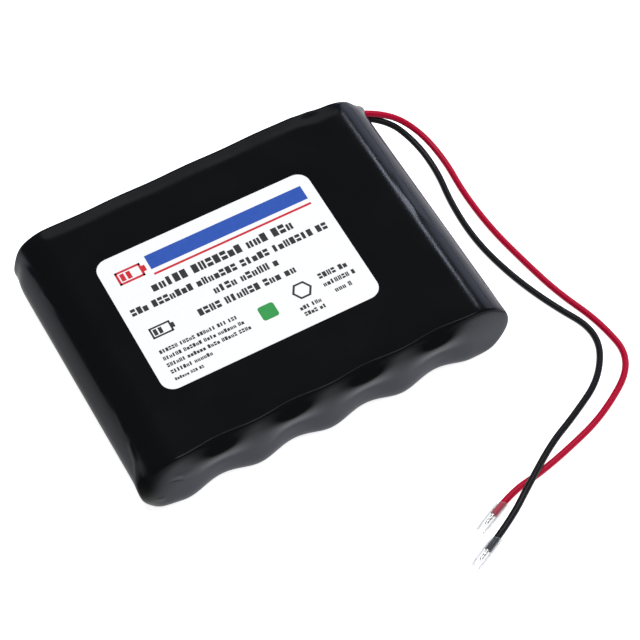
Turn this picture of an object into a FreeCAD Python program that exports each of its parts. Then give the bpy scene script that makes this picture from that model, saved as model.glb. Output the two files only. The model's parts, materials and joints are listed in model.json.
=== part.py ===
"""Flat five-cell lithium-ion battery pack in a heat-shrunk wrap, with two leads.

Millimetres. The origin is the middle of the wrap's underside. +X runs along the row of cells towards
the corner where the leads come out, +Y towards the end faces that carry the protection board, +Z up.
Every sub-part is written to parts/NAME.step.
"""
import FreeCAD
import Part
import math
import os

Vector = FreeCAD.Vector

# Cells: the common 18650 size, measured over the plastic sleeve.
CELLS = 5
CELL_D = 18.25
CELL_L = 65.2
PITCH = 18.35
CELL_SLEEVE = 0.1
CAN_WALL = 0.25

# Wrap: a heat-shrunk film, closed over both end faces.
FILM = 0.25
WRAP_R = 9.7
WRAP_W = 69.0
WRAP_EDGE_R = 1.0
FLOOR_GAP = 0.05
END_SLOT_Z = {-1: (3.5, 6.5), 1: (7.7, 12.2)}
END_SLOT_DEPTH = 2.4
END_SLOT_CORNER_R = 1.0
END_SLOT_MARGIN = 3.5
END_SLOT_LEAD_MARGIN = 0.45

# Dips of the film between neighbouring cells, along the long edges of both end faces.
DIP_R = 7.0
TOP_DIP = 1.2
BOTTOM_DIP = 2.2
DIP_LENGTH = 24.0

# Flat stock stacked on the cell ends, from the cells outwards.
NICKEL_T = 0.15
NICKEL_W = 8.0
BOARD_GAP = 0.05
INSULATOR_T = 0.3
INSULATOR_R = 8.2
INSULATOR_BAND = 6.0
TONGUE_GAP = 0.2
PCB_T = 0.8
PCB_H = 15.0
PCB_LEFT = -40.0
PCB_RIGHT = 32.0
SOLDER_R = 1.1

# Board components as length along the board, height and thickness, then where they stand.
TRANSISTOR = (5.0, 6.0, 1.0)
TRANSISTOR_X = (9.0, 17.0)
CONTROL_CHIP = (5.0, 6.4, 1.0)
CONTROL_CHIP_X = -8.0
PASSIVE = (1.6, 0.8, 0.6)
PASSIVE_X = (-34.0, -29.0, -24.0, -19.0, -14.0, -1.0)
PASSIVE_RISE = (-4.2, 0.0, 4.2)

# Room between the front board and the wrap's inside.
FRONT_STACK = 0.6

# Stiffening board and label on the top face.
TOP_BOARD = (72.0, 58.0, 0.4)
TOP_BOARD_CORNER_R = 3.0
LABEL_L = 54.65
LABEL_W = 39.36
LABEL_T = 0.1
LABEL_CENTRE = (-4.7, 0.1)
LABEL_TURN = -0.7
LABEL_CORNER_R = 3.2

# Leads: stranded hook-up wire with a tinned end in a loose clear sleeve.
LEAD_D = 1.6
CORE_D = 0.8
CORE_BARE = 3.0
SENSE_D = 1.0
TIP_SLEEVE_D = 2.5
TIP_SLEEVE_BORE = 2.0
TIP_SLEEVE_OVER = 3.7
TIP_SLEEVE_PAST = 5.1
TIP_SLEEVE_SLANT = 30.0
FLOOR_SKIM = 0.02
CROSS_GAP = 3.0

# Worked out from the sizes above.
CELL_R = CELL_D / 2
CELL_Z = FILM + FLOOR_GAP + CELL_R
WRAP_H = 2 * WRAP_R
CELL_X = [(i - (CELLS - 1) / 2) * PITCH for i in range(CELLS)]
VALLEY_X = [(a + b) / 2 for a, b in zip(CELL_X, CELL_X[1:])]
WRAP_CX = CELL_X[-1]
FRONT_Y = -WRAP_W / 2 + FILM + FRONT_STACK
BACK_Y = FRONT_Y + CELL_L
INSULATOR_BACK_Y = BACK_Y + NICKEL_T + BOARD_GAP
PCB_Y = INSULATOR_BACK_Y + INSULATOR_T + BOARD_GAP
PCB_FACE_Y = PCB_Y + PCB_T
PCB_Z = WRAP_R - PCB_H / 2
LEAD_Z = LEAD_D / 2 + FLOOR_SKIM
TIP_Z = TIP_SLEEVE_D / 2 + FLOOR_SKIM
CROSS_Z = LEAD_Z + LEAD_D + CROSS_GAP
VALLEY_WIRE_Z = 16.6
PAD_X = 28.6
ROOT_X = PCB_RIGHT + 0.6
ROOT_Y = PCB_FACE_Y + CORE_D / 2

# Routes. A root runs under the film from its pad to the end slot, and the free lead goes on from there.
RED_MOUTH = (46.0, 32.8, 11.3)
BLACK_MOUTH = (46.0, 32.7, 9.5)
RED_ROOT = [
    (ROOT_X, ROOT_Y, 12.9),
    (36.5, ROOT_Y, 12.9),
    (41.0, ROOT_Y, 12.3),
    RED_MOUTH,
]
BLACK_ROOT = [
    (ROOT_X, ROOT_Y, 7.3),
    (36.5, ROOT_Y, 7.3),
    (41.0, ROOT_Y, 9.5),
    BLACK_MOUTH,
]
RED_ROUTE = [
    RED_MOUTH,
    (51.7, 31.0, 9.8),
    (57.4, 26.1, 5.0),
    (59.8, 17.4, 1.4),
    (58.9, 6.8, LEAD_Z),
    (59.2, -5.6, LEAD_Z),
    (61.0, -17.4, LEAD_Z),
    (63.3, -29.4, LEAD_Z),
    (67.4, -41.2, LEAD_Z),
    (68.4, -54.1, LEAD_Z),
    (54.9, -62.9, LEAD_Z),
    (42.4, -66.8, LEAD_Z),
    (33.6, -68.9, 0.9),
    (26.5, -69.9, TIP_Z),
    (20.0, -72.8, TIP_Z),
]
BLACK_ROUTE = [
    BLACK_MOUTH,
    (51.1, 30.5, 8.1),
    (55.3, 24.5, 4.0),
    (56.6, 15.6, 1.3),
    (54.7, 5.2, LEAD_Z),
    (54.2, -6.8, LEAD_Z),
    (56.2, -19.0, LEAD_Z),
    (60.0, -31.0, LEAD_Z),
    (65.8, -43.5, LEAD_Z),
    (59.5, -54.1, 0.9),
    (48.1, -60.6, 2.6),
    (39.0, -65.5, CROSS_Z),
    (30.0, -71.5, CROSS_Z),
    (22.4, -76.0, TIP_Z),
    (14.4, -79.8, TIP_Z),
]
ARC_SHARE = 0.45
MOUTH_RUN = 1.7

os.makedirs("parts", exist_ok=True)


def save(name, shape):
    """Write one sub-part and stop if it isn't sound."""
    if not shape.isValid() or shape.Volume <= 0:
        raise ValueError(name + " is not a sound solid")
    shape.exportStep("parts/" + name + ".step")


def group(shapes):
    """Separate solids that share one node."""
    return Part.makeCompound(list(shapes))


def block(x0, x1, y0, y1, z0, z1):
    return Part.makeBox(x1 - x0, y1 - y0, z1 - z0, Vector(x0, y0, z0))


def disc_y(x, z, radius, y0, y1):
    """Round slab along Y."""
    return Part.makeCylinder(radius, y1 - y0, Vector(x, y0, z), Vector(0, 1, 0))


def turned(points):
    """Ring or cup turned about +Z from (radius, height) points."""
    outline = [Vector(r, 0, z) for r, z in points]
    face = Part.Face(Part.makePolygon(outline + outline[:1]))
    return face.revolve(Vector(0, 0, 0), Vector(0, 0, 1), 360)


# ---------------------------------------------------------------- wrap and label

def stadium(radius, y0, y1):
    """Round-sided bar along Y with its flat faces up and down."""
    z0 = WRAP_R - radius
    z1 = WRAP_R + radius
    left, right = -WRAP_CX, WRAP_CX
    edges = [
        Part.LineSegment(Vector(left, y0, z0), Vector(right, y0, z0)),
        Part.Arc(Vector(right, y0, z0), Vector(right + radius, y0, WRAP_R), Vector(right, y0, z1)),
        Part.LineSegment(Vector(right, y0, z1), Vector(left, y0, z1)),
        Part.Arc(Vector(left, y0, z1), Vector(left - radius, y0, WRAP_R), Vector(left, y0, z0)),
    ]
    wire = Part.Wire([edge.toShape() for edge in edges])
    return Part.Face(wire).extrude(Vector(0, y1 - y0, 0))


def dips(side_y, side_z, depth, extra):
    """Cutters for the film's dips along one long edge, grown by extra for the inside of the film."""
    into = Vector(0, -math.copysign(1, side_y), 1 if side_z == 0 else -1).normalize()
    along = Vector(0, into.z, -into.y)
    cutters = []
    for x in VALLEY_X:
        centre = Vector(x, side_y, side_z) + into * (depth - DIP_R)
        start = centre - along * (DIP_LENGTH / 2)
        cutters.append(Part.makeCylinder(DIP_R + extra, DIP_LENGTH, start, along))
    return cutters


def wrap_body(inset, edge_r):
    """The wrap's outside (inset 0) or inside (inset = film) as a solid."""
    half = WRAP_W / 2 - inset
    body = stadium(WRAP_R - inset, -half, half)
    rims = [e for e in body.Edges if abs(abs(e.CenterOfMass.y) - half) < 1e-6]
    body = body.makeFillet(edge_r, rims)
    for side_y in (-WRAP_W / 2, WRAP_W / 2):
        for side_z, depth in ((0, BOTTOM_DIP), (WRAP_H, TOP_DIP)):
            body = body.cut(group(dips(side_y, side_z, depth, inset)))
    return body


def end_slot(side):
    """Cutter for the slot that the shrunk film leaves along a rounded side of the pack."""
    front = -WRAP_W / 2 + END_SLOT_MARGIN
    back = WRAP_W / 2 - (END_SLOT_LEAD_MARGIN if side > 0 else END_SLOT_MARGIN)
    inner = side * (WRAP_CX + WRAP_R - END_SLOT_DEPTH)
    outer = side * (WRAP_CX + WRAP_R + 1)
    x0, x1 = min(inner, outer), max(inner, outer)
    slot = block(x0, x1, front, back, *END_SLOT_Z[side])
    corners = [e for e in slot.Edges if abs(e.BoundBox.XLength - (x1 - x0)) < 1e-6]
    return slot.makeFillet(END_SLOT_CORNER_R, corners)


def shrink_wrap():
    film = wrap_body(0, WRAP_EDGE_R).cut(wrap_body(FILM, WRAP_EDGE_R - FILM))
    return film.cut(group([end_slot(-1), end_slot(1)]))


def rounded_plate(length, width, thickness, radius):
    plate = Part.makeBox(length, width, thickness, Vector(-length / 2, -width / 2, 0))
    corners = [e for e in plate.Edges if abs(e.BoundBox.ZLength - thickness) < 1e-6]
    return plate.makeFillet(radius, corners)


def label():
    plate = rounded_plate(LABEL_L, LABEL_W, LABEL_T, LABEL_CORNER_R)
    plate.rotate(Vector(0, 0, 0), Vector(0, 0, 1), LABEL_TURN)
    plate.translate(Vector(LABEL_CENTRE[0], LABEL_CENTRE[1], WRAP_H))
    return plate


def top_board():
    length, width, thickness = TOP_BOARD
    plate = rounded_plate(length, width, thickness, TOP_BOARD_CORNER_R)
    plate.translate(Vector(0, 0, WRAP_H - FILM - FLOOR_GAP - thickness))
    return plate


# ---------------------------------------------------------------- cells

CAN_R = CELL_R - CELL_SLEEVE
CAN_TOP = CELL_L - 0.5
GROOVE_Z = CELL_L - 4.4
GROOVE_DEPTH = 0.9
CRIMP_R = 7.2
CAP_Z = CAN_TOP - 1.0
CAP_T = 0.35
CAP_RIM_R = CAN_R - CAN_WALL - 0.6
NUB_R = 3.1
GASKET_T = 0.4
GASKET_LIP = 1.0
WASHER_T = 0.2
WASHER_BORE_R = 4.2
SLEEVE_FOLD_R = 7.6
SLEEVE_TOP_FOLD_R = 6.4
MANDREL_R = 1.2


def can():
    """Steel cup with a rolled groove under its crimped lip; the closed end is negative."""
    r, w = CAN_R, CAN_WALL
    low, high = GROOVE_Z - GROOVE_DEPTH, GROOVE_Z + GROOVE_DEPTH
    outside = [(0, CELL_SLEEVE), (r, CELL_SLEEVE), (r, low), (r - GROOVE_DEPTH, GROOVE_Z), (r, high)]
    lip = [(r, CAN_TOP), (CRIMP_R, CAN_TOP), (CRIMP_R, CAN_TOP - w), (r - w, CAN_TOP - w)]
    inside = [(r - w, high), (r - w - GROOVE_DEPTH, GROOVE_Z), (r - w, low)]
    floor = [(r - w, CELL_SLEEVE + w), (0, CELL_SLEEVE + w)]
    return turned(outside + lip + inside + floor)


def cell_sleeve():
    """Plastic sleeve, folded in over both ends of the can."""
    t = CELL_SLEEVE
    top = CAN_TOP + WASHER_T
    outside = [(SLEEVE_FOLD_R, 0), (CELL_R, 0), (CELL_R, top + t)]
    fold = [(SLEEVE_TOP_FOLD_R, top + t), (SLEEVE_TOP_FOLD_R, top)]
    inside = [(CAN_R, top), (CAN_R, t), (SLEEVE_FOLD_R, t)]
    return turned(outside + fold + inside)


def positive_cap():
    """Pressed cap with the raised contact in its middle."""
    return turned([
        (0, CELL_L - CAP_T),
        (0, CELL_L),
        (NUB_R, CELL_L),
        (NUB_R + 0.5, CAP_Z + CAP_T),
        (CAP_RIM_R, CAP_Z + CAP_T),
        (CAP_RIM_R, CAP_Z),
        (NUB_R, CAP_Z),
        (NUB_R - 0.4, CELL_L - CAP_T),
    ])


def gasket():
    """Seal between the cap's rim and the crimped can."""
    outer = CAN_R - CAN_WALL
    inner = CAP_RIM_R - GASKET_LIP
    top = CAN_TOP - CAN_WALL
    return turned([
        (inner, CAP_Z - GASKET_T),
        (outer, CAP_Z - GASKET_T),
        (outer, top),
        (CRIMP_R, top),
        (CRIMP_R, CAP_Z + CAP_T),
        (CAP_RIM_R, CAP_Z + CAP_T),
        (CAP_RIM_R, CAP_Z),
        (inner, CAP_Z),
    ])


def washer():
    """Paper ring that keeps the link off the can's lip."""
    top = CAN_TOP + WASHER_T
    return turned([(WASHER_BORE_R, CAN_TOP), (CAN_R, CAN_TOP), (CAN_R, top), (WASHER_BORE_R, top)])


def roll():
    """Wound electrodes, with the open mandrel hole along the middle."""
    radius = CAN_R - CAN_WALL - 0.15
    low = CELL_SLEEVE + CAN_WALL + 0.3
    high = GROOVE_Z - GROOVE_DEPTH - 0.8
    return turned([(MANDREL_R, low), (radius, low), (radius, high), (MANDREL_R, high)])


def in_row(shape, index):
    """Lay a cell's piece along Y at its place; every second cell is turned end for end."""
    placed = shape.copy()
    if index % 2 == 0:
        placed.rotate(Vector(0, 0, 0), Vector(1, 0, 0), 90)
        placed.translate(Vector(CELL_X[index], BACK_Y, CELL_Z))
    else:
        placed.rotate(Vector(0, 0, 0), Vector(1, 0, 0), -90)
        placed.translate(Vector(CELL_X[index], FRONT_Y, CELL_Z))
    return placed


# ---------------------------------------------------------------- links and boards

WELD_SLIT = (0.6, 5.0)
TONGUE_W = 3.0


def strip(x0, x1, y0, cells):
    """Nickel strip across the end faces of the named cells, slit where it is welded."""
    z0 = CELL_Z - NICKEL_W / 2
    plate = block(x0, x1, y0, y0 + NICKEL_T, z0, z0 + NICKEL_W)
    half_w, half_l = WELD_SLIT[0] / 2, WELD_SLIT[1] / 2
    slits = []
    for i in cells:
        x = CELL_X[i]
        slits.append(block(x - half_w, x + half_w, y0 - 1, y0 + 1, CELL_Z - half_l, CELL_Z + half_l))
    return plate.cut(group(slits))


def front_strip(cells):
    """Front strip with an ear up to the wire in the valley beside or between its cells."""
    y0 = FRONT_Y - NICKEL_T
    half = NICKEL_W / 2
    valley = VALLEY_X[min(cells[0], CELLS - 2)]
    x0 = min(CELL_X[cells[0]] - half, valley - TONGUE_W / 2)
    x1 = CELL_X[cells[-1]] + half
    ear_top = VALLEY_WIRE_Z + LEAD_D / 2
    ear = block(valley - TONGUE_W / 2, valley + TONGUE_W / 2, y0, FRONT_Y, CELL_Z + half, ear_top)
    return strip(x0, x1, y0, cells).fuse(ear).removeSplitter()


def tongue_x(cells):
    return CELL_X[cells[0]] - 2.0


def back_strip(cells):
    """Back strip with a tongue bent through the insulating board to the protection board."""
    half = NICKEL_W / 2
    plate = strip(CELL_X[cells[0]] - half, CELL_X[cells[-1]] + half, BACK_Y, cells)
    x = tongue_x(cells)
    z1 = CELL_Z + half
    tongue = block(x - TONGUE_W / 2, x + TONGUE_W / 2, BACK_Y, PCB_Y, z1 - NICKEL_T, z1)
    return plate.fuse(tongue).removeSplitter()


FRONT_STRIPS = {"nickel_link_front_1_2": [0, 1], "nickel_link_front_3_4": [2, 3], "nickel_tab_front_5": [4]}
BACK_STRIPS = {"nickel_tab_back_1": [0], "nickel_link_back_2_3": [1, 2], "nickel_link_back_4_5": [3, 4]}


def end_insulator(y0):
    """Scalloped paper board over the end faces of all cells."""
    y1 = y0 + INSULATOR_T
    half = INSULATOR_BAND / 2
    band = block(CELL_X[0], CELL_X[-1], y0, y1, CELL_Z - half, CELL_Z + half)
    discs = [disc_y(x, CELL_Z, INSULATOR_R, y0, y1) for x in CELL_X]
    return band.multiFuse(discs).removeSplitter()


def back_insulator():
    z1 = CELL_Z + NICKEL_W / 2
    half = TONGUE_W / 2 + TONGUE_GAP
    slots = []
    for cells in BACK_STRIPS.values():
        x = tongue_x(cells)
        slots.append(block(x - half, x + half, BACK_Y, PCB_Y, z1 - NICKEL_T - TONGUE_GAP, z1 + TONGUE_GAP))
    return end_insulator(INSULATOR_BACK_Y).cut(group(slots))


def component(x, z, size):
    """One board component, its body standing on the board's outer face."""
    length, height, thickness = size
    x0, z0 = x - length / 2, z - height / 2
    return block(x0, x0 + length, PCB_FACE_Y, PCB_FACE_Y + thickness, z0, z0 + height)


def solder_joint(start):
    """Solder on one lead's pad: a dome with a channel in which the bare core lies."""
    centre = Vector((PAD_X + PCB_RIGHT) / 2, PCB_FACE_Y, start[2])
    left = centre.x - 2 * SOLDER_R
    dome = Part.makeSphere(SOLDER_R, centre)
    dome = dome.common(block(left, ROOT_X, PCB_FACE_Y, PCB_FACE_Y + 2 * SOLDER_R, 0, WRAP_H))
    half = CORE_D / 2
    channel = block(left, ROOT_X, PCB_FACE_Y - CORE_D, ROOT_Y, start[2] - half, start[2] + half)
    bore = Part.makeCylinder(half, ROOT_X - left, Vector(left, ROOT_Y, start[2]), Vector(1, 0, 0))
    return dome.cut(channel.fuse(bore))


def root_core(start):
    """Bare core of a lead where it lies on its pad."""
    base = Vector(PAD_X, ROOT_Y, start[2])
    return Part.makeCylinder(CORE_D / 2, start[0] - PAD_X, base, Vector(1, 0, 0))


def valley_wire(x, diameter):
    """Wire from a front strip's ear to the protection board, along a valley between two cells."""
    return disc_y(x, VALLEY_WIRE_Z, diameter / 2, FRONT_Y, PCB_Y)


# ---------------------------------------------------------------- leads

def lead_edges(route):
    """Straight runs joined by tangent arcs. Also returns each arc's radius and the path's length."""
    points = [Vector(*p) for p in route]
    runs = [b - a for a, b in zip(points, points[1:])]
    edges, radii = [], []
    here = points[0]
    for point, before, after in zip(points[1:], runs, runs[1:]):
        cut = ARC_SHARE * min(before.Length, after.Length)
        u = Vector(before).normalize()
        v = Vector(after).normalize()
        turn = u.getAngle(v)
        radius = cut / math.tan(turn / 2)
        start = point - u * cut
        end = point + v * cut
        inward = (v - u).normalize()
        middle = point + inward * (radius / math.cos(turn / 2) - radius)
        edges.append(Part.LineSegment(here, start).toShape())
        edges.append(Part.Arc(start, middle, end).toShape())
        radii.append(radius)
        here = end
    edges.append(Part.LineSegment(here, points[-1]).toShape())
    return edges, radii, sum(edge.Length for edge in edges)


def tube(name, route, diameter):
    """Solid round tube along a route, with its radii and volume printed as a check."""
    edges, radii, length = lead_edges(route)
    start = Vector(*route[0])
    heading = Vector(*route[1]) - start
    profile = Part.Face(Part.Wire(Part.makeCircle(diameter / 2, start, heading)))
    solid = Part.Wire(edges).makePipe(profile)
    expected = math.pi * diameter ** 2 / 4 * length
    listed = " ".join("%.1f" % r for r in radii)
    print("%s: length %.1f, volume ratio %.4f, radii %s" % (name, length, solid.Volume / expected, listed))
    return solid


def in_line(root, route):
    """The root with one more point, so that it meets the free lead in line with its first run."""
    mouth = Vector(*route[0])
    heading = (Vector(*route[1]) - mouth).normalize()
    return root[:-1] + [tuple(mouth - heading * MOUTH_RUN), root[-1]]


def tip_frame(route):
    """End point of a lead and the direction in which it points."""
    end = Vector(*route[-1])
    return end, (end - Vector(*route[-2])).normalize()


def tip_core(route):
    end, heading = tip_frame(route)
    return Part.makeCylinder(CORE_D / 2, CORE_BARE, end, heading)


def tip_sleeve(route):
    """Clear sleeve over the lead's end, cut off at a slant where the lead goes in."""
    end, heading = tip_frame(route)
    mouth = end - heading * TIP_SLEEVE_OVER
    length = TIP_SLEEVE_OVER + TIP_SLEEVE_PAST
    outside = Part.makeCylinder(TIP_SLEEVE_D / 2, length, mouth, heading)
    sleeve = outside.cut(Part.makeCylinder(TIP_SLEEVE_BORE / 2, length, mouth, heading))
    side = 4 * TIP_SLEEVE_D
    knife = Part.makeBox(side, side, side, Vector(-side / 2, -side / 2, -side))
    knife.rotate(Vector(0, 0, 0), Vector(0, 1, 0), TIP_SLEEVE_SLANT)
    knife.translate(Vector(0, 0, TIP_SLEEVE_D / 2 * math.tan(math.radians(TIP_SLEEVE_SLANT))))
    along = FreeCAD.Placement(mouth, FreeCAD.Rotation(Vector(0, 0, 1), heading))
    knife.Placement = along.multiply(knife.Placement)
    return sleeve.cut(knife)


# ---------------------------------------------------------------- the pack

def build_wrap():
    save("shrink_wrap", shrink_wrap())
    save("label", label())
    save("top_board", top_board())


def build_cells():
    pieces = {
        "can": can(),
        "sleeve": cell_sleeve(),
        "positive_cap": positive_cap(),
        "gasket": gasket(),
        "washer": washer(),
        "electrode_roll": roll(),
    }
    for index in range(CELLS):
        for piece, shape in pieces.items():
            save("cell_%d_%s" % (index + 1, piece), in_row(shape, index))


def build_links():
    for name, cells in FRONT_STRIPS.items():
        save(name, front_strip(cells))
    for name, cells in BACK_STRIPS.items():
        save(name, back_strip(cells))
    save("front_insulator", end_insulator(FRONT_Y - NICKEL_T - BOARD_GAP - INSULATOR_T))
    save("back_insulator", back_insulator())
    save("sense_wire_1_2", valley_wire(VALLEY_X[0], SENSE_D))
    save("sense_wire_3_4", valley_wire(VALLEY_X[2], SENSE_D))
    save("return_wire", valley_wire(VALLEY_X[3], LEAD_D))


def build_board():
    save("protection_board", block(PCB_LEFT, PCB_RIGHT, PCB_Y, PCB_FACE_Y, PCB_Z, PCB_Z + PCB_H))
    save("power_transistors", group(component(x, WRAP_R, TRANSISTOR) for x in TRANSISTOR_X))
    save("control_chip", component(CONTROL_CHIP_X, WRAP_R, CONTROL_CHIP))
    places = [(x, WRAP_R + rise) for x in PASSIVE_X for rise in PASSIVE_RISE]
    save("small_components", group(component(x, z, PASSIVE) for x, z in places))
    save("solder_joints", group(solder_joint(root[0]) for root in (RED_ROOT, BLACK_ROOT)))
    save("lead_root_cores", group(root_core(root[0]) for root in (RED_ROOT, BLACK_ROOT)))


def build_leads():
    for colour, root, route in (("red", RED_ROOT, RED_ROUTE), ("black", BLACK_ROOT, BLACK_ROUTE)):
        save(colour + "_lead_root", tube(colour + "_lead_root", in_line(root, route), LEAD_D))
        save(colour + "_lead", tube(colour + "_lead", route, LEAD_D))
        save(colour + "_lead_tip", tip_core(route))
        save(colour + "_tip_sleeve", tip_sleeve(route))


build_wrap()
build_cells()
build_links()
build_board()
build_leads()
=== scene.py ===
"""Looks for the flat five-cell battery pack: shrunk film, printed label, two leads in clear tip sleeves.

Metres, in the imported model's own frame: origin under the middle of the wrap, +X along the row of cells
towards the corner where the leads come out, +Y towards the end faces with the protection board, +Z up.
Sizes are written in millimetres and turned into metres by MM where a piece is made.
"""
import json
import math
import random

import bmesh
import bpy
import numpy as np
from mathutils import Matrix, Vector


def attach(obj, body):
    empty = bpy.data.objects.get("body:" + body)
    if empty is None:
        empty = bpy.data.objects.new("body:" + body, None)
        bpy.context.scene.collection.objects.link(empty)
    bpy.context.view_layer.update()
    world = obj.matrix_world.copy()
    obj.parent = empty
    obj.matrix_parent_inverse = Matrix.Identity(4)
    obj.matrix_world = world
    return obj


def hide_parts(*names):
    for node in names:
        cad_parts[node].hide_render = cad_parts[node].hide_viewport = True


MM = 0.001

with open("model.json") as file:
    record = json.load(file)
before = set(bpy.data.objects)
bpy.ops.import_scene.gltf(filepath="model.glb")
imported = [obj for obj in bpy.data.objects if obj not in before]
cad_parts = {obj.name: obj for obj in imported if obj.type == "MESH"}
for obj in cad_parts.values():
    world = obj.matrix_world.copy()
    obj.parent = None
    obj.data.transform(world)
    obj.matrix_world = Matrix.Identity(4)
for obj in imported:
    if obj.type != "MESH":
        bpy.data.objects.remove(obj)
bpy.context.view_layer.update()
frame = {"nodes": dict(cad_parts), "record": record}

# Cells and wrap.
CELLS = 5
PITCH = 18.35
CELL_X = [(i - (CELLS - 1) / 2) * PITCH for i in range(CELLS)]
WRAP_R = 9.7
WRAP_CX = CELL_X[-1]
FILM = 0.25
WRAP_TOP = 2 * WRAP_R

# Label.
LABEL_L = 54.65
LABEL_W = 39.36
LABEL_CENTRE = (-4.7, 0.1)
LABEL_TURN = math.radians(-0.7)
LABEL_CORNER_R = 3.2
LABEL_Z = (WRAP_TOP + 0.01, WRAP_TOP + 0.086)
PRINT_T = 0.006

# Leads: their bare ends, and the sleeves' reach back over the insulation and past its end.
LEAD_D = 1.6
CORE_D = 0.8
CORE_BARE = 3.0
TIP_SLEEVE_D = 2.5
TIP_SLEEVE_BORE = 2.0
TIP_SLEEVE_OVER = 3.7
TIP_SLEEVE_PAST = 5.1

# Heights of a lead's middle: lying on the table, in its sleeve, and where the black lead passes over the red.
LEAD_Z = 0.82
TIP_Z = 1.27
CROSS_Z = 2.8

# Middle line of each lead, from the mouth of the film to the end of its insulation.
RED_ROUTE = [
    (46.0, 32.8, 11.3),
    (51.7, 31.0, 9.8),
    (57.4, 26.1, 5.0),
    (59.8, 17.4, 1.4),
    (58.9, 6.8, LEAD_Z),
    (59.2, -5.6, LEAD_Z),
    (61.0, -17.4, LEAD_Z),
    (63.3, -29.4, LEAD_Z),
    (67.4, -41.2, LEAD_Z),
    (68.4, -54.1, LEAD_Z),
    (54.9, -62.9, LEAD_Z),
    (42.4, -66.8, LEAD_Z),
    (33.6, -68.9, 0.9),
    (26.5, -69.9, TIP_Z),
    (20.0, -72.8, TIP_Z),
]
BLACK_ROUTE = [
    (46.0, 32.7, 9.5),
    (51.1, 30.5, 8.1),
    (55.3, 24.5, 4.0),
    (56.6, 15.6, 1.3),
    (54.7, 5.2, LEAD_Z),
    (54.2, -6.8, LEAD_Z),
    (56.2, -19.0, LEAD_Z),
    (60.0, -31.0, LEAD_Z),
    (65.8, -43.5, LEAD_Z),
    (59.5, -54.1, 0.9),
    (48.1, -60.6, 2.2),
    (40.2, -64.3, CROSS_Z),
    (30.8, -70.5, CROSS_Z),
    (22.4, -76.0, TIP_Z),
    (14.4, -79.8, TIP_Z),
]


# ---------------------------------------------------------------- camera, lights and floor

FLOOR_GLOW = 0.9
FLOOR_HALF = 4.0
SKY_COLOUR = (0.90, 0.94, 1.0)
SKY_STRENGTH = 0.07

CAMERA_AIM = Vector((9.0, -13.4, 9.7)) * MM
CAMERA_DISTANCE = 0.5567
CAMERA_AZIMUTH = math.radians(-24.67)
CAMERA_ELEVATION = math.radians(56.72)
CAMERA_ROLL = math.radians(-4.62)
CAMERA_LENS = 136.6


def towards(azimuth, elevation):
    """Unit vector from the object to a viewer; azimuth 0 is in front, along -Y."""
    flat = math.cos(elevation)
    return Vector((math.sin(azimuth) * flat, -math.cos(azimuth) * flat, math.sin(elevation)))


def add_camera():
    """Long-lens camera, high in front of the pack and a little to its left."""
    data = bpy.data.cameras.new("camera")
    data.lens = CAMERA_LENS
    data.sensor_width = 36
    data.clip_start = 0.01
    camera = bpy.data.objects.new("camera", data)
    bpy.context.scene.collection.objects.link(camera)
    back = towards(CAMERA_AZIMUTH, CAMERA_ELEVATION)
    level = (-back).to_track_quat("-Z", "Y").to_matrix()
    roll = Matrix.Rotation(CAMERA_ROLL, 3, "Z")
    camera.matrix_world = Matrix.Translation(CAMERA_AIM + back * CAMERA_DISTANCE) @ (level @ roll).to_4x4()
    bpy.context.scene.camera = camera


def add_softbox(name, azimuth, elevation, distance, size, watts, colour=(1, 1, 1)):
    """Area light aimed at the object: direction in degrees, distance and size in metres."""
    data = bpy.data.lights.new(name, "AREA")
    data.shape = "RECTANGLE"
    data.size, data.size_y = size
    data.energy = watts
    data.color = colour
    light = bpy.data.objects.new(name, data)
    bpy.context.scene.collection.objects.link(light)
    back = towards(math.radians(azimuth), math.radians(elevation))
    light.location = back * distance
    light.rotation_euler = back.to_track_quat("Z", "Y").to_euler()


def add_studio():
    """Plain dim surroundings, a high main light, and low fills that draw the gloss on the rounded sides."""
    world = bpy.data.worlds.new("studio")
    world.use_nodes = True
    sky = world.node_tree.nodes["Background"]
    sky.inputs["Color"].default_value = (*SKY_COLOUR, 1)
    sky.inputs["Strength"].default_value = SKY_STRENGTH
    bpy.context.scene.world = world
    add_softbox("key", 60, 81, 1.6, (1.0, 1.0), 26)
    add_softbox("right_fill", 114, 14, 1.5, (1.3, 0.6), 5.5, (0.80, 0.86, 1.0))
    add_softbox("streak", 128, 36, 1.5, (0.10, 0.16), 1.9, (0.84, 0.88, 1.0))
    add_softbox("back_fill", 163, 38, 1.8, (1.0, 0.3), 1.2)
    bpy.context.scene.view_settings.view_transform = "Standard"


# ---------------------------------------------------------------- material helpers

def noise(nodes, links, scale, detail):
    """Output of a noise laid out in the object's own space."""
    place = nodes.new("ShaderNodeTexCoord")
    node = nodes.new("ShaderNodeTexNoise")
    node.inputs["Scale"].default_value = scale
    node.inputs["Detail"].default_value = detail
    links.new(place.outputs["Object"], node.inputs["Vector"])
    return node.outputs["Fac"]


def ranged(nodes, links, source, before, after):
    """Output that carries source from the range before to the range after."""
    node = nodes.new("ShaderNodeMapRange")
    for socket, value in zip(("From Min", "From Max", "To Min", "To Max"), (*before, *after)):
        node.inputs[socket].default_value = value
    links.new(source, node.inputs["Value"])
    return node.outputs["Result"]


def colour_mix(nodes, links, share, first, second):
    """Output that goes from the first colour to the second with share."""
    node = nodes.new("ShaderNodeMix")
    node.data_type = "RGBA"
    if isinstance(first, bpy.types.NodeSocket):
        links.new(first, node.inputs["A"])
    else:
        node.inputs["A"].default_value = (*first, 1)
    node.inputs["B"].default_value = (*second, 1)
    links.new(share, node.inputs["Factor"])
    return node.outputs["Result"]


def product(nodes, links, first, second):
    """Output of two values multiplied."""
    node = nodes.new("ShaderNodeMath")
    node.operation = "MULTIPLY"
    links.new(first, node.inputs[0])
    links.new(second, node.inputs[1])
    return node.outputs["Value"]


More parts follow.
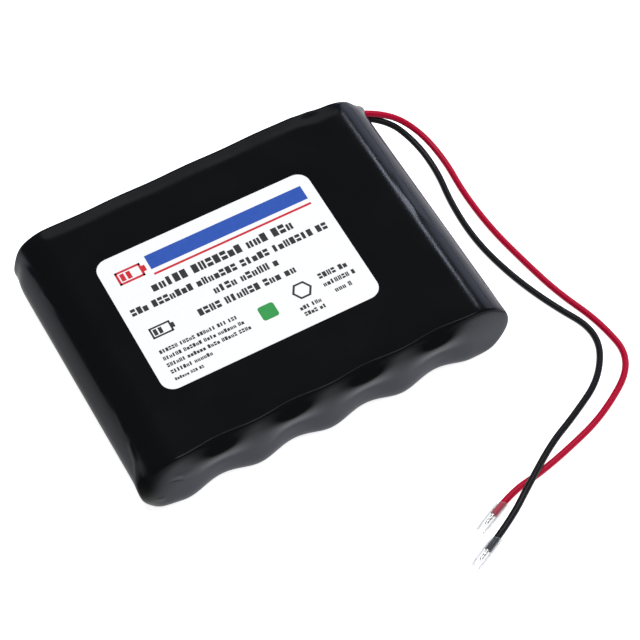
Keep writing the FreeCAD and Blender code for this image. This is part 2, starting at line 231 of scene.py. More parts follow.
def relief(nodes, links, height, strength, depth):
    """Output with the surface's direction tilted by a height; depth is in millimetres."""
    node = nodes.new("ShaderNodeBump")
    node.inputs["Strength"].default_value = strength
    node.inputs["Distance"].default_value = depth * MM
    links.new(height, node.inputs["Height"])
    return node.outputs["Normal"]


def turned_away(nodes, blend):
    """Output that is 0 where the surface faces the viewer and 1 where it is seen edge on."""
    node = nodes.new("ShaderNodeLayerWeight")
    node.inputs["Blend"].default_value = blend
    return node.outputs["Facing"]


def painted(nodes, name):
    """Output of a value that the mesh carries at its points."""
    node = nodes.new("ShaderNodeAttribute")
    node.attribute_name = name
    return node.outputs["Fac"]


def new_material(name):
    """Material with its nodes, its links and its principled shader."""
    material = bpy.data.materials.new(name)
    material.use_nodes = True
    nodes, links = material.node_tree.nodes, material.node_tree.links
    return material, nodes, links, nodes["Principled BSDF"]


def textured(name, colour, roughness, spread=0.12, grain=900.0, bump=0.02, **sockets):
    """Principled material whose colour, roughness and height vary a little with a fine noise.

    Other uniform values go on the shader's own sockets, with underscores for the spaces in their names.
    """
    material, nodes, links, shader = new_material(name)
    for socket, value in sockets.items():
        shader.inputs[socket.replace("_", " ")].default_value = value
    fleck = noise(nodes, links, grain, 3)
    darker = [c * (1 - spread) for c in colour]
    paler = [min(1.0, c * (1 + spread)) for c in colour]
    links.new(colour_mix(nodes, links, fleck, darker, paler), shader.inputs["Base Color"])
    shine = ranged(nodes, links, fleck, (0, 1), (roughness * 0.85, roughness * 1.15))
    links.new(shine, shader.inputs["Roughness"])
    links.new(relief(nodes, links, fleck, 0.5, bump), shader.inputs["Normal"])
    return material


# The film's black face on, its painted bluish sheen where it turns away, and its grey where it is stretched
# thin.
FILM_BLACK = (0.0052, 0.0054, 0.0060)
FILM_SHEEN_BLUE = (0.0070, 0.0100, 0.0320)
FILM_THIN_GREY = (0.085, 0.09, 0.075)


def film_material():
    """Glossy black film with faint orange peel and smudges: a painted bluish sheen and less reflection where
    it turns away, black with little reflection in the places of painted shade, and paler in the thin ones."""
    material, nodes, links, shader = new_material("wrap_film")
    shader.inputs["IOR"].default_value = 1.29
    shader.inputs["Specular Tint"].default_value = (0.84, 0.89, 1.0, 1)
    smudge = noise(nodes, links, 90, 5)
    peel = noise(nodes, links, 420, 2)
    turned = turned_away(nodes, 0.5)
    # Painted shade: where the mesh carries the shade mask, the reflection is turned down and the painted
    # sheen with it.
    kept_gloss = ranged(nodes, links, painted(nodes, "painted_shade"), (0, 1), (1, 0))
    gloss = ranged(nodes, links, turned, (0.45, 0.92), (0.32, 0.03))
    links.new(product(nodes, links, gloss, kept_gloss), shader.inputs["Specular IOR Level"])
    # Painted sheen: the base colour goes from black to a bluish black as the film is seen edge on, standing
    # in for a bluish reflection.
    sheen_share = product(nodes, links, ranged(nodes, links, turned, (0.3, 0.9), (0, 1)), kept_gloss)
    black = colour_mix(nodes, links, sheen_share, FILM_BLACK, FILM_SHEEN_BLUE)
    tint = colour_mix(nodes, links, painted(nodes, "thin"), black, FILM_THIN_GREY)
    links.new(tint, shader.inputs["Base Color"])
    shine = ranged(nodes, links, smudge, (0.35, 0.65), (0.15, 0.22))
    links.new(shine, shader.inputs["Roughness"])
    links.new(relief(nodes, links, peel, 0.35, 0.012), shader.inputs["Normal"])
    return material


# Looks of the carried CAD pieces by the record's material slot: colour, roughness and metallic share.
SLOT_LOOKS = {
    "fibre_board": ((0.62, 0.58, 0.42), 0.7, 0.0),
    "can_steel": ((0.62, 0.62, 0.60), 0.32, 1.0),
    "cell_plastic": ((0.020, 0.022, 0.026), 0.35, 0.0),
    "plated_cap": ((0.74, 0.72, 0.66), 0.22, 1.0),
    "gasket_plastic": ((0.03, 0.03, 0.035), 0.55, 0.0),
    "washer_paper": ((0.80, 0.77, 0.66), 0.8, 0.0),
    "electrode_foil": ((0.12, 0.11, 0.10), 0.5, 0.6),
    "nickel_strip": ((0.70, 0.68, 0.61), 0.3, 1.0),
    "insulating_paper": ((0.34, 0.42, 0.34), 0.8, 0.0),
    "sense_insulation": ((0.70, 0.45, 0.03), 0.35, 0.0),
    "board_laminate": ((0.012, 0.11, 0.04), 0.35, 0.0),
    "chip_moulding": ((0.015, 0.015, 0.015), 0.5, 0.0),
    "component_ceramic": ((0.45, 0.33, 0.20), 0.45, 0.0),
    "solder": ((0.66, 0.66, 0.66), 0.25, 1.0),
    "tinned_copper": ((0.68, 0.67, 0.65), 0.3, 1.0),
}
INSULATION_COLOURS = {"red": (0.40, 0.0, 0.026), "black": (0.006, 0.006, 0.008)}


def slot_materials():
    """One material for each slot, by the slot's name."""
    made = {slot: textured(slot, colour, roughness, Metallic=metallic)
            for slot, (colour, roughness, metallic) in SLOT_LOOKS.items()}
    for name, colour in INSULATION_COLOURS.items():
        slot = name + "_insulation"
        made[slot] = textured(slot, colour, 0.42, IOR=1.24)
    return made


def clear_material():
    """Thin clear plastic: nearly unseen face on, greyer where a wall is seen edge on."""
    material = textured("clear_plastic", (0.44, 0.46, 0.51), 0.15, spread=0.02, bump=0.0, IOR=1.4)
    nodes, links = material.node_tree.nodes, material.node_tree.links
    cover = ranged(nodes, links, turned_away(nodes, 0.4), (0.1, 1), (0.05, 0.9))
    links.new(cover, nodes["Principled BSDF"].inputs["Alpha"])
    return material


def dress_carried_nodes(materials):
    """Give every CAD piece that shows as it is the look of its slot."""
    for part in frame["record"]["subparts"]:
        if part["material_slot"] in materials:
            data = frame["nodes"][part["node"]].data
            data.materials.clear()
            data.materials.append(materials[part["material_slot"]])


def add_floor():
    """Plain white table that glows faintly, so that shadows on it stay light."""
    mesh = bpy.data.meshes.new("floor")
    signs = ((-1, -1), (1, -1), (1, 1), (-1, 1))
    corners = [(across * FLOOR_HALF, along * FLOOR_HALF, 0) for across, along in signs]
    mesh.from_pydata(corners, [], [(0, 1, 2, 3)])
    floor = bpy.data.objects.new("floor", mesh)
    bpy.context.scene.collection.objects.link(floor)
    glow = {"Emission Color": (1, 1, 1, 1), "Emission Strength": FLOOR_GLOW}
    white = textured("floor_white", (0.87, 0.87, 0.87), 0.6, spread=0.004, grain=30, bump=0.0, **glow)
    mesh.materials.append(white)


# ---------------------------------------------------------------- shape helpers

def metres(point):
    """Point in metres from one in millimetres."""
    return tuple(c * MM for c in point)


def smooth(value, low, high):
    """0 below low, 1 above high, and a smooth step between."""
    share = min(1.0, max(0.0, (value - low) / (high - low)))
    return share * share * (3 - 2 * share)


def mix(a, b, share):
    """a at share 0, b at share 1."""
    return a + (b - a) * share


def rounded_line(corners, steps):
    """Smooth line from the first to the last corner: one quadratic arc at each corner between them."""
    corners = [np.array(c, float) for c in corners]
    joints = [corners[0]] + [(a + b) / 2 for a, b in zip(corners[1:-2], corners[2:-1])] + [corners[-1]]
    points = []
    for start, corner, stop in zip(joints, corners[1:-1], joints[1:]):
        for k in range(steps):
            q = k / steps
            points.append(start * (1 - q) ** 2 + corner * 2 * q * (1 - q) + stop * q ** 2)
    return points + [corners[-1]]


def new_object(name, points, faces, material, smooth_faces=True):
    """Mesh object from points in millimetres."""
    mesh = bpy.data.meshes.new(name)
    mesh.from_pydata([metres(p) for p in points], [], faces)
    mesh.materials.append(material)
    mesh.polygons.foreach_set("use_smooth", [smooth_faces] * len(mesh.polygons))
    made = bpy.data.objects.new(name, mesh)
    bpy.context.scene.collection.objects.link(made)
    return made


def grid_faces(rows, columns, loop_rows=False):
    """Quads between neighbouring closed rows of points; loop_rows joins the last row to the first."""
    faces = []
    for r in range(rows if loop_rows else rows - 1):
        here, there = r * columns, (r + 1) % rows * columns
        for c in range(columns):
            d = (c + 1) % columns
            faces.append((here + c, here + d, there + d, there + c))
    return faces


def tidy_mesh(piece, merge=0.002):
    """Weld points closer than merge, in millimetres, and turn all faces outwards."""
    shape = bmesh.new()
    shape.from_mesh(piece.data)
    bmesh.ops.remove_doubles(shape, verts=shape.verts, dist=merge * MM)
    bmesh.ops.recalc_face_normals(shape, faces=shape.faces)
    shape.to_mesh(piece.data)
    shape.free()


# ---------------------------------------------------------------- the shrunk film

# How far the film reaches round each side of the pack, in degrees from straight up (1) and from straight
# down (-1): over both ends of a side, where it is closed, and along the slot that it leaves between them.
FILM_CLOSED = {(-1, 1): 108.0, (-1, -1): 72.0, (1, 1): 92.0, (1, -1): 88.0}
FILM_SLOT = {(-1, 1): 102.0, (-1, -1): 58.0, (1, 1): 77.0, (1, -1): 78.0}
SLOT_HALF_Y = 31.0
SLOT_POWER = 6

# The mouth that the leads come out of: how far the film reaches above and below it, and where it lies.
MOUTH_REACH = {1: 70.0, -1: 80.0}
MOUTH_Y = (29.5, 34.0)

# Outline of each end from the flat top or bottom to mid height, as corners (inset from the end face, drop
# from the flat): over a cell and over a valley, at the top (1) and bottom (-1) of the front and the back.
END_OUTLINES = {
    (-1, 1): (
        [(2.6, 0), (0.8, 0), (0.45, 0.08), (0.15, 0.6), (0.0, 1.6), (0, 3.2), (0, 6.0), (0, 9.7)],
        [(2.6, 0), (1.4, 0), (1.1, 0.05), (0.4, 0.8), (-0.2, 1.8), (-0.62, 3.1), (-0.45, 5.6), (0.8, 9.7)],
    ),
    (-1, -1): (
        [(3.6, 0), (2.0, 0), (0.8, 0.35), (0.25, 1.4), (0.05, 3.0), (0, 4.5), (0, 6.5), (0, 9.7)],
        [(5.2, 0), (3.0, 0), (1.35, 2.4), (1.05, 4.2), (0.95, 5.6), (0.88, 6.8), (0.82, 8.0), (0.8, 9.7)],
    ),
    (1, 1): (
        [(5.0, 0), (3.9, 0.03), (1.4, 0.42), (0.35, 0.56), (0.02, 0.9), (0, 2.0), (0, 6.0), (0, 9.7)],
        [(5.0, 0), (3.9, 0.05), (1.5, 0.45), (0.4, 0.62), (0.1, 1.1), (0.1, 2.6), (0.1, 6.0), (0.1, 9.7)],
    ),
    (1, -1): (
        [(3.6, 0), (1.6, 0), (0.6, 0.4), (0.1, 1.2), (0, 2.4), (0, 4.0), (0, 6.0), (0, 9.7)],
        [(5.0, 0), (3.0, 0), (1.6, 1.6), (0.8, 3.4), (0.5, 5.0), (0.3, 6.4), (0.2, 8.0), (0.1, 9.7)],
    ),
}

# The same outline round a side of the pack, and round its left-hand front corner, where the film is
# tucked in.
SIDE_OUTLINE = [(2.4, 0), (1.2, 0), (0.5, 0.06), (0.1, 0.45), (0.0, 1.3), (0, 3.0), (0, 6.0), (0, 9.7)]
TUCKED_OUTLINE = [(3.4, 0), (2.3, 0.05), (1.4, 0.25), (0.6, 0.9), (0.2, 1.9), (0.05, 3.4), (0, 6.0), (0, 9.7)]

# Share of the way round a side by which the end's outline has turned into the side's own.
SIDE_SETTLED = 0.45

# End faces: their y over most of the row and beyond the step, and the x range of the step.
FACE_Y = {-1: (-35.6, -35.6), 1: (35.75, 34.5)}
FACE_STEP_X = (27, 34)

# Loose film on the left side: how far it stands out, and its middle and spread in degrees from straight up.
SIDE_FLARE = 0.6
SIDE_FLARE_AT = (96, 18)

# Steps of the film's mesh: round a side, along one cell of the row, along the top (1) and bottom (-1), and at
# each corner of an outline.
ROUND_STEPS = 36
PITCH_STEPS = 24
RUN_STEPS = {1: 96, -1: 24}
OUTLINE_STEPS = 5


def valley_share(x):
    """0 over the middle of a cell and outside the row, 1 over the valley between two cells."""
    if abs(x) >= WRAP_CX:
        return 0.0
    return (1 - math.cos(2 * math.pi * (x - CELL_X[0]) / PITCH)) / 2


def film_angle(side, up, y, share):
    """Angle from straight up or down of a film point at y, at that share of the way round a side."""
    if side == 0:
        return 0.0
    closed = FILM_CLOSED[side, up]
    reach = mix(FILM_SLOT[side, up], closed, min(1.0, abs(y / SLOT_HALF_Y) ** SLOT_POWER))
    if side > 0:
        low, high = MOUTH_Y
        inside = smooth(y, low - 2, low) * (1 - smooth(y, high - 0.8, high))
        reach = mix(reach, MOUTH_REACH[up], inside)
    return math.radians(reach * share)


def film_radius(side, up, angle):
    """Film radius about the outer cell's axis, with the loose flare on the left side."""
    if side >= 0:
        return WRAP_R
    polar = math.degrees(angle) if up > 0 else 180 - math.degrees(angle)
    middle, spread = SIDE_FLARE_AT
    return WRAP_R + SIDE_FLARE * math.exp(-((polar - middle) / spread) ** 2)


def end_outline(end, up, x, side, share):
    """Film outline at one end, from the flat to mid height, as (y, drop from the flat)."""
    round_outline = TUCKED_OUTLINE if (end, side) == (-1, -1) else SIDE_OUTLINE
    cell, valley = END_OUTLINES[end, up]
    between = valley_share(x)
    settled = smooth(share, 0, SIDE_SETTLED)
    corners = []
    for over_cell, over_valley, round_side in zip(cell, valley, round_outline):
        flat = [mix(a, b, between) for a, b in zip(over_cell, over_valley)]
        corners.append([mix(a, b, settled) for a, b in zip(flat, round_side)])
    face = mix(*FACE_Y[end], smooth(x, *FACE_STEP_X))
    return [(face - end * inset, drop) for inset, drop in rounded_line(corners, OUTLINE_STEPS)]


def half_section(x, side, share, up):
    """Film from mid height at the back, over the top (up 1) or under the bottom (up -1), to the front."""
    back = end_outline(1, up, x, side, share)[::-1]
    front = end_outline(-1, up, x, side, share)
    start, stop = back[-1][0], front[0][0]
    run = [(mix(start, stop, k / RUN_STEPS[up]), 0.0) for k in range(1, RUN_STEPS[up])]
    points = []
    for y, drop in back + run + front:
        angle = film_angle(side, up, y, share)
        radial = film_radius(side, up, angle) * (1 - drop / WRAP_R)
        points.append((x + side * radial * math.sin(angle), y, WRAP_R + up * radial * math.cos(angle)))
    return points


def film_section(x, side, share):
    """One closed section of the film's outside, in millimetres."""
    return half_section(x, side, share, 1) + half_section(x, side, share, -1)[::-1]


def film_stations():
    """Places along the row, left to right, as (x, side, share of the way round that side)."""
    rounds = [k / ROUND_STEPS for k in range(1, ROUND_STEPS + 1)]
    flat_steps = PITCH_STEPS * (CELLS - 1)
    left = [(-WRAP_CX, -1, share) for share in reversed(rounds)]
    flat = [(mix(-WRAP_CX, WRAP_CX, k / flat_steps), 0, 0.0) for k in range(flat_steps + 1)]
    return left + flat + [(WRAP_CX, 1, share) for share in rounds]


def side_point(side, degrees, y, out=0.0):
    """Point on a rounded side at an angle from straight up."""
    turn = math.radians(degrees)
    radius = WRAP_R + out
    return (side * (WRAP_CX + radius * math.sin(turn)), y, WRAP_R + radius * math.cos(turn))


def side_path(side, *places):
    """Path on a rounded side through places given as (degrees, y)."""
    return [side_point(side, degrees, y) for degrees, y in places]


# Soft lumps and hollows: centre, push in millimetres and half-widths.
FILM_LUMPS = [
    (side_point(-1, 112, -33.6), (-0.5, -0.3, -0.4), (3.0, 2.4, 5.0)),
    (side_point(-1, 138, -33.8), (-0.3, -0.5, -0.2), (3.0, 1.6, 3.0)),
    (side_point(-1, 90, 34.0), (0.6, -0.5, 0.0), (4.0, 3.0, 6.0)),
    (side_point(1, 120, -33.0), (-0.3, 0.15, 0.15), (4.0, 4.0, 5.0)),
    (side_point(1, 30, 34.2), (0.0, -0.3, -0.15), (3.6, 2.4, 3.4)),
    (side_point(1, 52, 34.4), (-0.1, -0.6, -0.4), (2.2, 2.0, 2.6)),
    (side_point(1, 72, 33.4), (0.7, 0.0, -0.3), (2.2, 1.6, 2.6)),
    ((32.0, 34.2, 18.6), (0.2, 0.3, 0.2), (2.6, 1.2, 2.2)),
    ((40.5, 34.2, 16.4), (0.0, 0.35, 0.0), (3.0, 1.2, 2.6)),
]

# Creases: path, push in millimetres, and half-width across the path.
FILM_CREASES = [
    (side_path(-1, (50, 21), (37, 11), (31, 1), (34, -8), (42, -15), (50, -21)), (-0.03, 0, 0.05), 0.6),
    (side_path(-1, (62, 34.2), (50, 30.5), (44, 27)), (0.07, 0, -0.06), 0.8),
    (side_path(-1, (92, -31.6), (74, -30.6), (60, -28.4), (54, -25)), (-0.14, 0, 0.08), 0.6),
    (side_path(-1, (84, -34.0), (72, -33.2), (62, -32.0)), (0.20, 0.1, -0.06), 0.5),
    (side_path(1, (29, 9), (20, 2), (24, -4), (32, -11)), (0.02, 0, 0.04), 0.6),
    (side_path(1, (35, 12), (26, 3), (19, -5)), (0.015, 0, 0.03), 0.6),
    (side_path(1, (52, -16), (58, -24), (64, -32)), (-0.08, 0, -0.05), 0.7),
    ([(-38.4, -35.6, 13.2), (-36.6, -35.6, 12.2), (-35.4, -35.6, 12.6)], (0, -0.12, 0.04), 0.5),
    ([(-39.8, -35.6, 12.0), (-37.6, -35.6, 11.0)], (0, 0.10, 0), 0.4),
    ([(-15.6, -35.5, 9.4), (-12.2, -35.5, 10.4)], (0, -0.10, 0.03), 0.6),
    ([(-43.6, -35.5, 7.6), (-42.6, -35.5, 6.6)], (0, -0.12, 0.05), 0.4),
]

# Places where the film is stretched thin: centre, half-widths and strength.
FILM_THIN = [
    (side_point(-1, 115, -34.2), (2.4, 1.6, 3.6), 0.8),
    (side_point(-1, 74, 33.6), (2.0, 2.0, 2.6), 0.3),
    (side_point(1, 58, 33.6), (2.2, 1.3, 2.8), 0.7),
]

# Painted shade: places where the film's reflection is turned down and its painted sheen left off, so that
# they
# read dark: the slack hollow under the ridge at each valley of the front, the whole top of the front face,
# the left side, and the left-hand front corner.
FILM_PAINTED_SHADE = [((x + PITCH / 2 - 0.2, -36.0, 16.1), (7.6, 4.0, 4.4), 0.9) for x in CELL_X[:-1]]
FILM_PAINTED_SHADE.append(((0.0, -36.0, 18.0), (80.0, 4.0, 5.0), 0.35))
FILM_PAINTED_SHADE.append((side_point(-1, 85, 0.0), (6.0, 60.0, 8.0), 0.68))
FILM_PAINTED_SHADE.append((side_point(-1, 72, -33.5), (5.0, 3.0, 6.0), 0.6))


def closeness(points, centre, half_widths):
    """1 at the centre, falling smoothly to 0 a few half-widths away."""
    return np.exp(-(((points - np.array(centre)) / np.array(half_widths)) ** 2).sum(axis=1))


def path_distance(points, path):
    """Distance of every point from an open line of straight pieces."""
    nearest = np.full(len(points), np.inf)
    for start, stop in zip(path, path[1:]):
        start, run = np.array(start), np.array(stop) - np.array(start)
        along = np.clip((points - start) @ run / (run @ run), 0, 1)
        nearest = np.minimum(nearest, np.linalg.norm(points - start - along[:, None] * run, axis=1))
    return nearest


def worked_film(points):
    """Film points with their lumps and creases."""
    placed = np.array(points)
    moved = placed.copy()
    for centre, push, half_widths in FILM_LUMPS:
        moved += closeness(placed, centre, half_widths)[:, None] * np.array(push)
    for path, push, half_width in FILM_CREASES:
        moved += np.exp(-(path_distance(placed, path) / half_width) ** 2)[:, None] * np.array(push)
    return moved


def shrink_film(material):
    """The whole film as one closed shell, with its thin places and its places of painted shade painted on its
    points.
    """
    sections = [film_section(*station) for station in film_stations()]
    points = worked_film([point for section in sections for point in section])
    film = new_object("shrink_film", points.tolist(), grid_faces(len(sections), len(sections[0])), material)
    tidy_mesh(film)
    placed = np.array([v.co for v in film.data.vertices]) / MM
    # The thin places, and the mask of painted shade that turns the film's reflection down.
    for name, places in (("thin", FILM_THIN), ("painted_shade", FILM_PAINTED_SHADE)):
        strength = sum(peak * closeness(placed, centre, half_widths) for centre, half_widths, peak in places)
        film.data.attributes.new(name, "FLOAT", "POINT").data.foreach_set("value", np.clip(strength, 0, 1))
    wall = film.modifiers.new("film_wall", "SOLIDIFY")
    wall.thickness = FILM * MM
    wall.offset = -1
    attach(film, "pack")
    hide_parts("shrink_wrap")


# ---------------------------------------------------------------- label

INK_COLOURS = {
    "black": (0.014, 0.014, 0.016),
    "red": (0.60, 0.008, 0.022),
    "blue": (0.010, 0.075, 0.42),
    "green": (0.02, 0.30, 0.06),
}

# Glyph stand-ins: plain blocks (left, top, right, bottom) in a unit box. They spell nothing.
MARKS = [
    [(0, 0, 1, 1)],
    [(0, 0.24, 1, 1)],
    [(0, 0, 0.43, 1), (0.57, 0, 1, 1)],
    [(0, 0.24, 0.43, 1), (0.57, 0.24, 1, 1)],
    [(0, 0, 1, 0.42), (0, 0.58, 1, 1)],
    [(0.1, 0, 0.75, 1)],
]
# Width of a mark, and the gaps after a mark and a word, in shares of the line's height.
MARK_WIDTH = 0.6
MARK_GAP = 0.15
WORD_GAP = 0.45
WORD_MARKS = (3, 7)

# Lines of block words: left, right, top and bottom in shares of the label's width and height.
WORD_LINES = [
    (0.17, 0.83, 0.283, 0.345),
    (0.04, 0.965, 0.392, 0.442),
    (0.39, 0.69, 0.483, 0.533),
    (0.285, 0.76, 0.578, 0.628),
    (0.06, 0.42, 0.722, 0.748),
    (0.06, 0.44, 0.772, 0.798),
    (0.06, 0.45, 0.822, 0.848),
    (0.06, 0.26, 0.872, 0.898),
    (0.06, 0.20, 0.928, 0.948),
    (0.80, 0.95, 0.700, 0.738),
    (0.80, 0.96, 0.768, 0.800),
    (0.83, 0.92, 0.832, 0.864),
    (0.66, 0.77, 0.852, 0.880),
    (0.665, 0.765, 0.898, 0.926),
]

# The header and the plain signs: places in the same shares, sizes in millimetres.
HEADER_BAND = (0.21, 0.95, 0.09, 0.195)
HEADER_RULE = (0.21, 0.95, 0.225, 0.24)
HEADER_SIGN = (0.12, 0.165, 6.4)
SMALL_SIGN = (0.115, 0.60, 5.2)
HEXAGON_AT = (0.71, 0.755)
HEXAGON_R = (2.5, 1.9)
SQUARE_AT = (0.54, 0.79)
SQUARE_HALF = 2
SQUARE_CORNER_R = 0.7
CORNER_STEPS = 8


def label_xy(u, v):
    """Place on the pack of a label point, in millimetres from the label's left and top edges."""
    across, up = u - LABEL_L / 2, LABEL_W / 2 - v
    x = LABEL_CENTRE[0] + across * math.cos(LABEL_TURN) - up * math.sin(LABEL_TURN)
    y = LABEL_CENTRE[1] + across * math.sin(LABEL_TURN) + up * math.cos(LABEL_TURN)
    return x, y


def plates(name, outlines, z0, z1, material):
    """One piece of flat plates cut to outlines given in label millimetres."""
    points, faces = [], []
    for outline in outlines:
        first, count = len(points), len(outline)
        for z in (z0, z1):
            points += [(*label_xy(u, v), z) for u, v in outline]
        faces.append(tuple(range(first, first + count)))
        faces.append(tuple(range(first + count, first + 2 * count)))
        for k in range(count):
            n = (k + 1) % count
            faces.append((first + k, first + n, first + count + n, first + count + k))
    piece = new_object(name, points, faces, material, smooth_faces=False)
    tidy_mesh(piece, merge=0.0)
    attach(piece, "pack")
    return piece


def oblong(u0, v0, u1, v1):
    """Outline of an upright oblong between its left, top, right and bottom."""
    return [(u0, v0), (u1, v0), (u1, v1), (u0, v1)]


def rounded_oblong(u0, v0, u1, v1, radius):
    """The same with rounded corners."""
    outline = []
    corners = ((u1 - radius, v0 + radius, -90), (u1 - radius, v1 - radius, 0),
               (u0 + radius, v1 - radius, 90), (u0 + radius, v0 + radius, 180))
    for u, v, start in corners:
        for k in range(CORNER_STEPS + 1):
            turn = math.radians(start + 90 * k / CORNER_STEPS)
            outline.append((u + radius * math.cos(turn), v + radius * math.sin(turn)))
    return outline


def hexagon_ring(u, v, outer, inner):
    """Six-sided ring, as one outline that runs round outside and back inside."""
    turns = [math.radians(60 * k) for k in range(7)]
    outside = [(u + outer * math.cos(t), v + outer * math.sin(t)) for t in turns]
    inside = [(u + inner * math.cos(t), v + inner * math.sin(t)) for t in reversed(turns)]
    return outside + inside


def marks_line(u0, u1, v0, v1, draw):
    """One line of block words between two edges of the label; draw is a seeded random source."""
    height = v1 - v0
    step = height * (MARK_WIDTH + MARK_GAP)
    outlines = []
    u = u0
    left_in_word = draw.randint(*WORD_MARKS)
    while u + height * MARK_WIDTH <= u1:
        if left_in_word == 0:
            u += height * WORD_GAP
            left_in_word = draw.randint(*WORD_MARKS)
            continue
        for a, b, c, d in draw.choice(MARKS):
            width = height * MARK_WIDTH
            outlines.append(oblong(u + a * width, v0 + b * height, u + c * width, v0 + d * height))
        u += step
        left_in_word -= 1
    return outlines


def battery_sign(u, v, size):
    """Battery outline with a contact and two charge bars, centred on a point."""
    w, h, line = size / 2, size * 0.3, size * 0.09
    outline = [oblong(u - w, v - h, u + w, v - h + line), oblong(u - w, v + h - line, u + w, v + h),
               oblong(u - w, v - h, u - w + line, v + h), oblong(u + w - line, v - h, u + w, v + h)]
    contact = [oblong(u + w, v - h * 0.45, u + w + line * 1.4, v + h * 0.45)]
    bars = [oblong(u + shift * size, v - h * 0.55, u + (shift + 0.17) * size, v + h * 0.55)
            for shift in (-0.36, -0.12)]
    return outline + contact + bars


def on_label(u, v):
    """Label millimetres from shares of the label's width and height."""
    return u * LABEL_L, v * LABEL_W


def stripe(left, right, top, bottom):
    """Outline of a plain stripe given in shares."""
    return oblong(*on_label(left, top), *on_label(right, bottom))


def label_print():
    """Outlines of all the print, by ink. The header is a battery sign, a plain band and a thin rule."""
    draw = random.Random(7)
    black = []
    for left, right, top, bottom in WORD_LINES:
        black += marks_line(left * LABEL_L, right * LABEL_L, top * LABEL_W, bottom * LABEL_W, draw)
    black += battery_sign(*on_label(*SMALL_SIGN[:2]), SMALL_SIGN[2])
    black.append(hexagon_ring(*on_label(*HEXAGON_AT), *HEXAGON_R))
    u, v = on_label(*SQUARE_AT)
    half = SQUARE_HALF
    square = rounded_oblong(u - half, v - half, u + half, v + half, SQUARE_CORNER_R)
    red = battery_sign(*on_label(*HEADER_SIGN[:2]), HEADER_SIGN[2]) + [stripe(*HEADER_RULE)]
    return [("black", black), ("blue", [stripe(*HEADER_BAND)]), ("green", [square]), ("red", red)]


def label():
    """The white label with its print, one piece for each ink."""
    stock = textured("label_stock", (0.93, 0.93, 0.94), 0.33, spread=0.01, grain=500)
    outline = rounded_oblong(0, 0, LABEL_L, LABEL_W, LABEL_CORNER_R)
    sheet = plates("label_sheet", [outline], LABEL_Z[0], LABEL_Z[1], stock)
    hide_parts("label")
    for ink, outlines in label_print():
        material = textured("ink_" + ink, INK_COLOURS[ink], 0.4, spread=0.06)
        plates("label_print_" + ink, outlines, LABEL_Z[1] - PRINT_T, LABEL_Z[1] + PRINT_T, material)


# ---------------------------------------------------------------- leads

def tip_frame(route):
    """End of the insulation, the way the lead points there, and the sideways and upward directions."""
    end = Vector(route[-1])
    heading = (end - Vector(route[-2])).normalized()
    up = Vector((0, 0, 1))
    return end, heading, up.cross(heading), up


def turned_rows(route, stations, sides, place):
    """Rows of points about the lead's end line; place(s, turn) gives (radius, shift along the line)."""
    end, heading, aside, up = tip_frame(route)
    points = []
    for station in stations:
        for k in range(sides):
            turn = 2 * math.pi * k / sides
            radius, shift = place(station, turn)
            around = aside * math.cos(turn) + up * math.sin(turn)
            points.append(end + heading * (station + shift) + around * radius)
    return points


SLEEVE_SIDES = 40
SLEEVE_ROWS = 30

# The sleeve's mouth is cut at a slant, and its far end is drawn in by a share of its radius and is ragged.
MOUTH_SLANT = 1.1
MOUTH_SLANT_RUN = 2.5
CRUMPLE = 0.09
CRUMPLE_RUN = 2.6
RAGGED = 0.16

STRANDS = 7
STRAND_DEPTH = 0.16
CORE_SIDES = 56
CORE_ROWS = 24
CORE_HIDDEN = 0.4
CORE_TAPER = 0.22
CORE_TAPER_RUN = 0.5
TWIST_PER_MM = 0.9


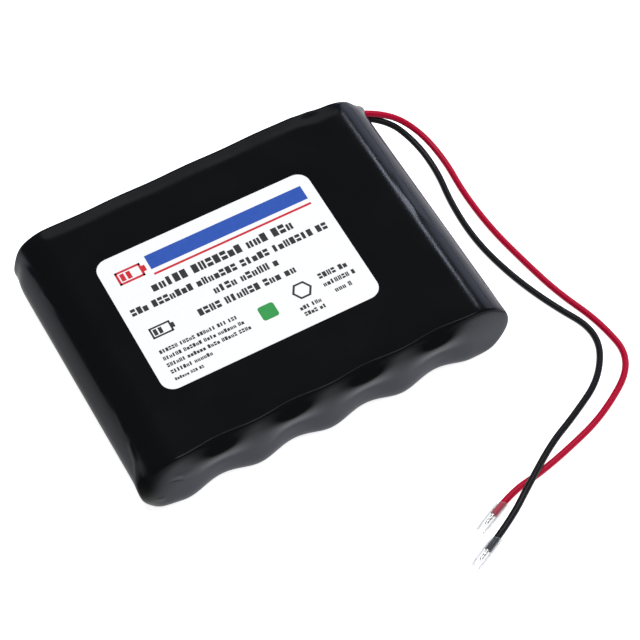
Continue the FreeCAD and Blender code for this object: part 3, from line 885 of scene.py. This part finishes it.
def tip_sleeve(colour, route, seed, material):
    """Clear sleeve: slanted at the mouth, loosely crumpled and a little ragged at the far end."""
    draw = random.Random(seed)
    phase, lobes = draw.uniform(0, 6.28), draw.choice((2, 3))
    low, high = -TIP_SLEEVE_OVER, TIP_SLEEVE_PAST

    def place(radius):
        def at(station, turn):
            crumple = smooth(station, high - CRUMPLE_RUN, high)
            wave = math.sin(lobes * turn + phase) + 0.4 * math.sin(5 * turn + 2 * phase)
            shift = MOUTH_SLANT * (1 - math.cos(turn)) / 2 * (1 - smooth(station, low, low + MOUTH_SLANT_RUN))
            shift += RAGGED * crumple * math.sin(3 * turn + phase)
            return radius * (1 - CRUMPLE * crumple * (1 + wave)), shift
        return at

    stations = [mix(low, high, k / SLEEVE_ROWS) for k in range(SLEEVE_ROWS + 1)]
    points = turned_rows(route, stations, SLEEVE_SIDES, place(TIP_SLEEVE_D / 2))
    points += turned_rows(route, stations[::-1], SLEEVE_SIDES, place(TIP_SLEEVE_BORE / 2))
    faces = grid_faces(2 * len(stations), SLEEVE_SIDES, loop_rows=True)
    sleeve = new_object(colour + "_clear_sleeve", points, faces, material)
    tidy_mesh(sleeve)
    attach(sleeve, colour + "_tip_sleeve")
    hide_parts(colour + "_tip_sleeve")
    return sleeve


def tip_core(colour, route, material):
    """Tinned strands twisted together, slightly tapered at the cut end."""
    def place(station, turn):
        lobe = abs(math.cos(STRANDS / 2 * (turn - TWIST_PER_MM * station)))
        taper = 1 - CORE_TAPER * smooth(station, CORE_BARE - CORE_TAPER_RUN, CORE_BARE)
        return CORE_D / 2 * (1 - STRAND_DEPTH * (1 - lobe)) * taper, 0.0

    stations = [mix(-CORE_HIDDEN, CORE_BARE, k / CORE_ROWS) for k in range(CORE_ROWS + 1)]
    points = turned_rows(route, stations, CORE_SIDES, place)
    faces = grid_faces(len(stations), CORE_SIDES)
    faces.append(tuple(range(CORE_SIDES)))
    faces.append(tuple(range(len(points) - CORE_SIDES, len(points))))
    core = new_object(colour + "_tinned_core", points, faces, material)
    tidy_mesh(core)
    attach(core, "pack")
    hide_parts(colour + "_lead_tip")
    return core


def lead(colour, route, material):
    """Insulated wire as one smooth NURBS spline along its route."""
    data = bpy.data.curves.new(colour + "_wire", "CURVE")
    data.dimensions = "3D"
    data.resolution_u = 24
    data.bevel_depth = LEAD_D / 2 * MM
    data.bevel_resolution = 8
    data.use_fill_caps = True
    spline = data.splines.new("NURBS")
    spline.points.add(len(route) - 1)
    for point, place in zip(spline.points, route):
        point.co = (*metres(place), 1)
    spline.order_u = 3
    spline.use_endpoint_u = True
    wire = bpy.data.objects.new(colour + "_wire", data)
    bpy.context.scene.collection.objects.link(wire)
    data.materials.append(material)
    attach(wire, "pack")
    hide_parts(colour + "_lead")


looks = slot_materials()
clear = clear_material()

add_camera()
add_studio()
add_floor()
dress_carried_nodes(looks)
shrink_film(film_material())
label()
for colour, route, seed in (("red", RED_ROUTE, 3), ("black", BLACK_ROUTE, 5)):
    core = tip_core(colour, route, looks["tinned_copper"])
    sleeve = tip_sleeve(colour, route, seed, clear)
    lead(colour, route, looks[colour + "_insulation"])
